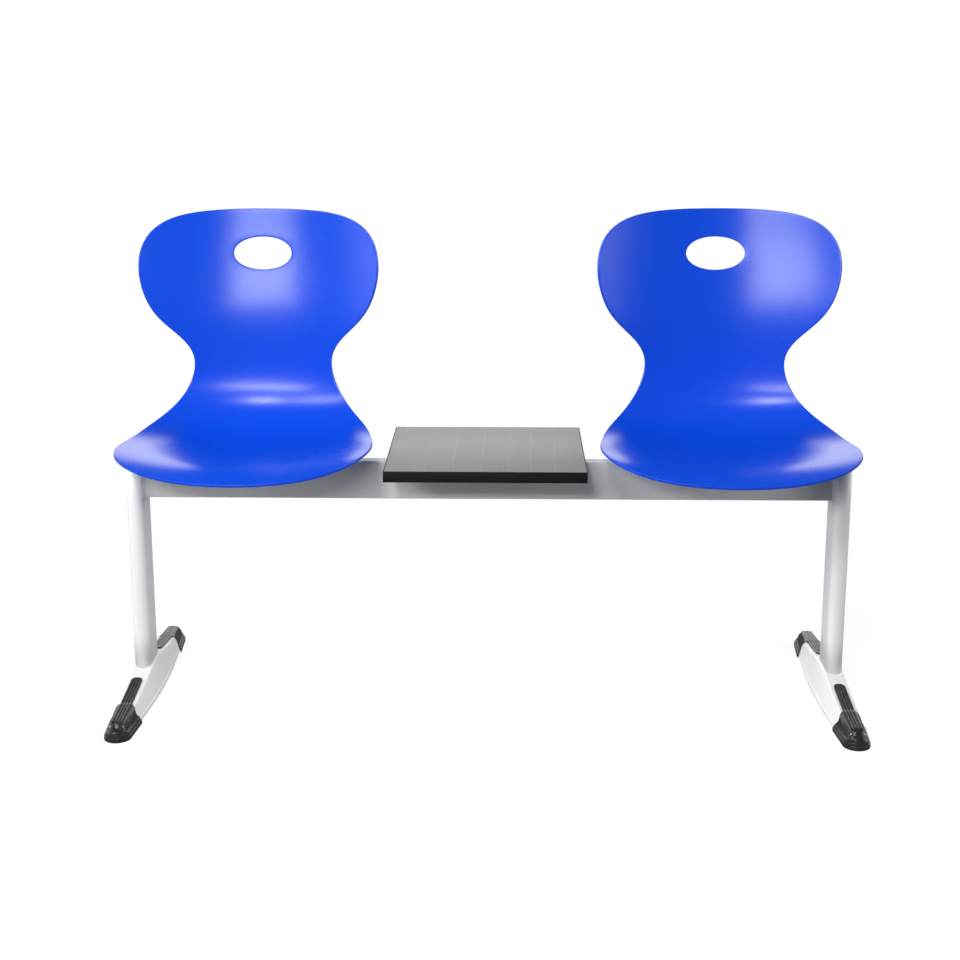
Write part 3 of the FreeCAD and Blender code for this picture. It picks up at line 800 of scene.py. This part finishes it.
def cap_strip(bm, centre):
    """Round-ended strip with three grooves, along the crest and down the hood to the nose."""
    profile = strip_profile()
    half_count = len(profile)
    tip_middle = STRIP_TIP + STRIP_HALF
    arc_rows, run_rows = STRIP_ROWS
    ends = [tip_middle - STRIP_HALF * math.cos(math.pi / 2 * i / arc_rows) for i in range(arc_rows)]
    runs = [tip_middle + (RIB_END - tip_middle) * i / run_rows for i in range(run_rows + 1)]
    rows = ends + runs

    def top_of(distance):
        on_crest = foot_station(distance)[0] + STRIP_HEIGHT
        return max(on_crest, hood_height(distance, STRIP_TOPS)) if distance > CAP_BACK else on_crest

    def place(column, row):
        distance = rows[row]
        short = max(0.0, tip_middle - distance)
        narrow = math.sqrt(max(0.0, 1 - (short / STRIP_HALF) ** 2))
        across = column - (half_count - 1)
        x, drop = profile[abs(across)]
        if distance < RIB_START and abs(x) < STRIP_HALF - 1:
            drop = 0.0
        past = max(0.0, distance - (RIB_END - STRIP_END_ROUND))
        narrow *= math.sqrt(1 - (past / STRIP_HALF) ** 2)
        drop += (1 - narrow) ** 2 + STRIP_END_DROP * past ** 2
        x = math.copysign(x, across) * max(narrow, 0.02)
        return Vector((centre + x * MM, -distance * MM, (top_of(distance) - drop) * MM))

    sheet_of_points(bm, 2 * half_count - 1, len(rows), place)


def foot_cap(end, side, material):
    """Moulded cap: stepped shoe, hood, nose and ribbed strip."""
    centre = SIDES[side] * COLUMN_X
    bm = bmesh.new()
    cap_shoe(bm, centre)
    close_seams(bm)
    strip = bmesh.new()
    cap_strip(strip, centre)
    close_seams(strip)
    nose = bmesh.new()
    turned(nose, [(r * MM, z * MM) for r, z in NOSE_PROFILE], (centre, -NOSE_Y * MM), NOSE_STEPS)
    close_seams(nose)
    for part in (strip, nose):
        mesh = bpy.data.meshes.new("part")
        part.to_mesh(mesh)
        part.free()
        bm.from_mesh(mesh)
        bpy.data.meshes.remove(mesh)
    if end == "rear":
        bmesh.ops.scale(bm, vec=(1, -1, 1), verts=bm.verts[:])
        bmesh.ops.reverse_faces(bm, faces=bm.faces[:])
    name = "foot_cap_%s_%s" % (end, side)
    finished(bm, "moulded_" + name, material, [name], 35.0)


# ---- table board ----
def board_edging(settings, material):
    """Four edge bands in one ring, with softened corners."""
    nodes = ["edge_band_" + part for part in ("front", "rear", "left", "right")]
    corners = [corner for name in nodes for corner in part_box(name)]
    low = Vector(min(c[a] for c in corners) for a in range(3))
    high = Vector(max(c[a] for c in corners) for a in range(3))
    bm = bmesh.new()
    box(bm, low, high)
    lids = [face for face in bm.faces if abs(face.normal.z) > 0.9]
    bmesh.ops.delete(bm, geom=lids, context="FACES_ONLY")
    upright = [edge for edge in bm.edges if abs(edge.verts[0].co.z - edge.verts[1].co.z) > 1 * MM]
    soften(bm, upright, settings.board_corner, 4)
    face_away(bm, (low + high) / 2)
    piece = finished(bm, "board_edging", material, nodes)
    wall_modifier(piece, EDGE_BAND * MM)
    bevel_modifier(piece, EDGE_BAND_ROUND * MM, 3, 60.0)


def board_face(name, node, material):
    """A laminate sheet with its arris taken off."""
    low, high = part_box(node)
    bm = bmesh.new()
    box(bm, low, high)
    soften(bm, bm.edges[:], LAMINATE_ARRIS * MM, 2)
    finished(bm, name, material, [node])


# ---- studio ----
def soft_light(name, location, target, width, height, power):
    lamp = bpy.data.lights.new(name, "AREA")
    lamp.shape = "RECTANGLE"
    lamp.size = width
    lamp.size_y = height
    lamp.energy = power
    holder = bpy.data.objects.new(name, lamp)
    turn = (Vector(target) - Vector(location)).to_track_quat("-Z", "Y")
    holder.matrix_world = Matrix.Translation(location) @ turn.to_matrix().to_4x4()
    bpy.context.scene.collection.objects.link(holder)


def surround(even, backdrop, side_walls):
    """A world that is white to look at. It lights the bench evenly, with a bright low backdrop behind it
    and bright walls at both sides."""
    world = bpy.data.worlds.new("studio_surround")
    world.use_nodes = True
    nodes, links = world.node_tree.nodes, world.node_tree.links

    def part_of(value, start, end):
        made = nodes.new("ShaderNodeMapRange")
        made.interpolation_type = "SMOOTHSTEP"
        links.new(value, made.inputs["Value"])
        made.inputs["From Min"].default_value = start
        made.inputs["From Max"].default_value = end
        return made.outputs["Result"]

    def maths(operation, first, second=0.0):
        made = nodes.new("ShaderNodeMath")
        made.operation = operation
        for socket, value in zip(made.inputs, (first, second)):
            if isinstance(value, float):
                socket.default_value = value
            else:
                links.new(value, socket)
        return made.outputs[0]

    direction = nodes.new("ShaderNodeSeparateXYZ")
    links.new(nodes.new("ShaderNodeTexCoord").outputs["Generated"], direction.inputs[0])
    across, back, up = (direction.outputs[axis] for axis in "XYZ")
    low_band = maths("MULTIPLY", part_of(up, 0.03, 0.14), part_of(up, 0.60, 0.30))
    behind = maths("MULTIPLY", maths("MULTIPLY", low_band, part_of(back, 0.2, 0.7)), backdrop)
    beside = maths("MULTIPLY", part_of(maths("ABSOLUTE", across), 0.72, 0.96), side_walls)
    strength = maths("ADD", maths("ADD", behind, beside), even)
    lighting = nodes["Background"]
    lighting.inputs["Color"].default_value = (1, 1, 1, 1)
    links.new(strength, lighting.inputs["Strength"])
    seen = nodes.new("ShaderNodeBackground")
    seen.inputs["Color"].default_value = (1, 1, 1, 1)
    either = nodes.new("ShaderNodeMixShader")
    links.new(nodes.new("ShaderNodeLightPath").outputs["Is Camera Ray"], either.inputs[0])
    links.new(lighting.outputs[0], either.inputs[1])
    links.new(seen.outputs[0], either.inputs[2])
    links.new(either.outputs[0], nodes["World Output"].inputs["Surface"])
    return world


def slot_colour(slot):
    """The record's colour for a slot, made deeper or paler for the lamps."""
    for row in frame["record"]["materials"]:
        if row["slot"] == slot:
            return tuple(min(1.0, LAMPLIT.get(slot, 1.0) * channel) for channel in row["base_color"][:3])
    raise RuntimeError("no slot named " + slot)


def colour_property(name, what, slot):
    return FloatVectorProperty(name=name, description="Colour of the " + what, subtype="COLOR", size=3,
                               min=0.0, max=1.0, default=slot_colour(slot))


class BenchSizes(bpy.types.PropertyGroup):
    """Sizes of the visible pieces that a user would change."""

    shell_wall: FloatProperty(name="Shell wall", description="Thickness of the seat shell", default=5.0 * MM,
                              min=2.0 * MM, max=10.0 * MM, unit="LENGTH")
    rim_round: FloatProperty(name="Rim rounding", description="Rounding of the shell's rim", default=1.6 * MM,
                             min=0.2 * MM, max=2.4 * MM, unit="LENGTH")
    board_corner: FloatProperty(name="Board corner", description="Rounding of the board's upright corners",
                                default=1.2 * MM, min=0.2 * MM, max=10.0 * MM, unit="LENGTH")


class BenchFinishes(bpy.types.PropertyGroup):
    """Colours of the visible pieces."""

    shell: colour_property("Shell", "seat shells", "shell_plastic")
    paint: colour_property("Frame", "powder coat", "frame_paint")
    cap: colour_property("Foot caps", "moulded caps", "cap_plastic")
    plug: colour_property("Column plugs", "plugs", "plug_plastic")
    laminate: colour_property("Board", "laminate", "board_laminate")
    edging: colour_property("Board edge", "edge band", "edge_plastic")
    chipboard: colour_property("Board core", "chipboard", "board_core")
    steel: colour_property("Screws", "zinc plate", "screw_steel")
    brass: colour_property("Inserts", "brass", "insert_brass")


class BenchStudio(bpy.types.PropertyGroup):
    """Floor, lights and camera."""

    floor_radius: FloatProperty(name="Floor radius", description="Radius of the pale floor", default=14.0,
                                min=3.0, unit="LENGTH")
    floor_tone: FloatProperty(name="Floor tone", description="How much light the floor throws back",
                              default=0.15, min=0.0, max=1.0, subtype="FACTOR")
    floor_glow: FloatProperty(name="Floor white", description="How white the floor looks", default=0.88,
                              min=0.0, max=1.0, subtype="FACTOR")
    surround: FloatProperty(name="Surround", description="Strength of the even light", default=0.10, min=0.0)
    backdrop: FloatProperty(name="Backdrop", description="Strength of the bright backdrop", default=2.0,
                            min=0.0)
    side_walls: FloatProperty(name="Side walls", description="Strength of the bright walls at the sides",
                              default=2.7, min=0.0)
    light_scale: FloatProperty(name="Lights", description="Share of the lamps' power", default=1.0, min=0.0)
    lens: FloatProperty(name="Lens", description="Focal length of the camera, in millimetres", default=59.71,
                        min=10.0)


def shared_finish(name, maker, colour):
    """A finish that several pieces share, made once."""
    return bpy.data.materials.get(name) or maker(colour)


def dress(node, material):
    """Gives a CAD node that stays on show its better material."""
    slots = frame["nodes"][node].data.materials
    if len(slots):
        for i in range(len(slots)):
            slots[i] = material
    else:
        slots.append(material)


class BENCH_OT_seat_shells(bpy.types.Operator):
    """Build both seat shells and their screw bosses"""

    bl_idname = "bench.seat_shells"
    bl_label = "Seat shells"

    def execute(self, context):
        scene = context.scene
        material = shared_finish("shell_polypropylene", shell_finish, scene.bench_finishes.shell)
        for side in SIDES:
            seat_shell(side, scene.bench_sizes, material)
            shell_bosses(side, material)
        return {"FINISHED"}


class BENCH_OT_frame_tubes(bpy.types.Operator):
    """Build the beam, the columns and the weld beads"""

    bl_idname = "bench.frame_tubes"
    bl_label = "Beam and columns"

    def execute(self, context):
        paint = context.scene.bench_finishes.paint
        # the beam gets the darkened copy of the frame paint: painted shade
        beam(shared_finish("beam_powder_coat_painted_shade", beam_shaded_paint_finish, paint))
        material = shared_finish("frame_powder_coat", paint_finish, paint)
        for side in SIDES:
            column(side, material)
            beam_weld(side, material)
        return {"FINISHED"}


class BENCH_OT_feet(bpy.types.Operator):
    """Build the two pressed feet"""

    bl_idname = "bench.feet"
    bl_label = "Feet"

    def execute(self, context):
        material = shared_finish("frame_powder_coat", paint_finish, context.scene.bench_finishes.paint)
        for side in SIDES:
            foot(side, material)
        return {"FINISHED"}


class BENCH_OT_foot_caps(bpy.types.Operator):
    """Build the four moulded foot caps"""

    bl_idname = "bench.foot_caps"
    bl_label = "Foot caps"

    def execute(self, context):
        material = shared_finish("cap_nylon", cap_finish, context.scene.bench_finishes.cap)
        for side in SIDES:
            for end in ENDS:
                foot_cap(end, side, material)
        return {"FINISHED"}


class BENCH_OT_table_board(bpy.types.Operator):
    """Build the table board: edging, laminate faces and core"""

    bl_idname = "bench.table_board"
    bl_label = "Table board"

    def execute(self, context):
        scene = context.scene
        finishes = scene.bench_finishes
        board_edging(scene.bench_sizes, shared_finish("board_edging_abs", edging_finish, finishes.edging))
        laminate = shared_finish("board_wood_grain", laminate_finish, finishes.laminate)
        board_face("board_face_top", "table_laminate_top", laminate)
        dress("table_laminate_bottom", laminate)
        dress("table_core", shared_finish("board_chipboard", chipboard_finish, finishes.chipboard))
        return {"FINISHED"}


class BENCH_OT_fixings(bpy.types.Operator):
    """Finish the carriers, plugs, screws, washers and inserts that stay as they are"""

    bl_idname = "bench.fixings"
    bl_label = "Carriers and fixings"

    def execute(self, context):
        finishes = context.scene.bench_finishes
        paint = shared_finish("frame_powder_coat", paint_finish, finishes.paint)
        plug = shared_finish("plug_polyethylene", plug_finish, finishes.plug)
        steel = shared_finish("screw_zinc_plate", steel_finish, finishes.steel)
        brass = shared_finish("insert_turned_brass", brass_finish, finishes.brass)
        for side in SIDES:
            for name in ("seat_carrier_%s_outer", "seat_carrier_%s_inner", "table_carrier_%s"):
                dress(name % side, paint)
            dress("column_plug_" + side, plug)
            dress("seat_screws_" + side, steel)
            dress("seat_washers_" + side, steel)
            dress("shell_inserts_" + side, brass)
        dress("table_screws", steel)
        return {"FINISHED"}


class BENCH_OT_studio(bpy.types.Operator):
    """Set up the pale floor, the soft lights and the camera"""

    bl_idname = "bench.studio"
    bl_label = "Studio"

    def execute(self, context):
        scene = context.scene
        studio = scene.bench_studio
        bm = bmesh.new()
        bmesh.ops.create_circle(bm, cap_ends=True, segments=FLOOR_SEGMENTS, radius=studio.floor_radius)
        mesh = bpy.data.meshes.new("studio_floor")
        bm.to_mesh(mesh)
        bm.free()
        floor = bpy.data.objects.new("studio_floor", mesh)
        scene.collection.objects.link(floor)
        tone = studio.floor_tone
        finish = Finish("studio_floor_paint", {"Roughness": 0.9, "Emission Strength": 1.0})
        finish.link("Base Color", finish.blend(finish.noise(3.0, 2.0), (tone, tone, tone, 1),
                                               (tone * 0.97, tone * 0.97, tone * 0.97, 1)))
        glow = studio.floor_glow
        seen = finish.node("ShaderNodeLightPath", output="Is Camera Ray")
        finish.link("Emission Color", finish.blend(seen, (0, 0, 0, 1), (glow, glow, glow, 1)))
        mesh.materials.append(finish.material)

        scene.world = surround(studio.surround, studio.backdrop, studio.side_walls)
        scene.view_settings.view_transform = "Standard"
        for *lamp, power in LIGHTS:
            soft_light(*lamp, power * studio.light_scale)

        camera_data = bpy.data.cameras.new("studio_camera")
        camera = bpy.data.objects.new("studio_camera", camera_data)
        scene.collection.objects.link(camera)
        camera_data.lens = studio.lens
        camera_data.sensor_width = 36.0
        camera_data.shift_x, camera_data.shift_y = CAMERA_SHIFT
        camera_data.clip_end = 60.0
        about_x, about_y, about_z = CAMERA_TURN
        turn = Matrix.Rotation(about_z, 3, "Z") @ Matrix.Rotation(about_x, 3, "X")
        turn = turn @ Matrix.Rotation(about_y, 3, "Y") @ Matrix(((1, 0, 0), (0, 0, -1), (0, 1, 0)))
        camera.matrix_world = Matrix.Translation(CAMERA_PLACE) @ turn.to_4x4()
        scene.camera = camera
        return {"FINISHED"}


OPERATORS = (BENCH_OT_seat_shells, BENCH_OT_frame_tubes, BENCH_OT_feet, BENCH_OT_foot_caps,
             BENCH_OT_table_board, BENCH_OT_fixings, BENCH_OT_studio)


class BENCH_PT_panel(bpy.types.Panel):
    """Lists the bench's pieces and their settings"""

    bl_idname = "BENCH_PT_panel"
    bl_label = "Beam bench"
    bl_space_type = "VIEW_3D"
    bl_region_type = "UI"
    bl_category = "Bench"

    def draw(self, context):
        layout = self.layout
        for group in (context.scene.bench_sizes, context.scene.bench_finishes, context.scene.bench_studio):
            box_layout = layout.box()
            for name in group.__annotations__:
                box_layout.prop(group, name)
        for operator in OPERATORS:
            layout.operator(operator.bl_idname)


CLASSES = (BenchSizes, BenchFinishes, BenchStudio, *OPERATORS, BENCH_PT_panel)
GROUPS = {"bench_sizes": BenchSizes, "bench_finishes": BenchFinishes, "bench_studio": BenchStudio}


def register():
    for cls in CLASSES:
        bpy.utils.register_class(cls)
    for name, group in GROUPS.items():
        setattr(bpy.types.Scene, name, PointerProperty(type=group))


def unregister():
    for name in GROUPS:
        delattr(bpy.types.Scene, name)
    for cls in reversed(CLASSES):
        bpy.utils.unregister_class(cls)


def main():
    register()
    bpy.ops.bench.seat_shells()
    bpy.ops.bench.frame_tubes()
    bpy.ops.bench.feet()
    bpy.ops.bench.foot_caps()
    bpy.ops.bench.table_board()
    bpy.ops.bench.fixings()
    bpy.ops.bench.studio()


if __name__ == "__main__":
    main()
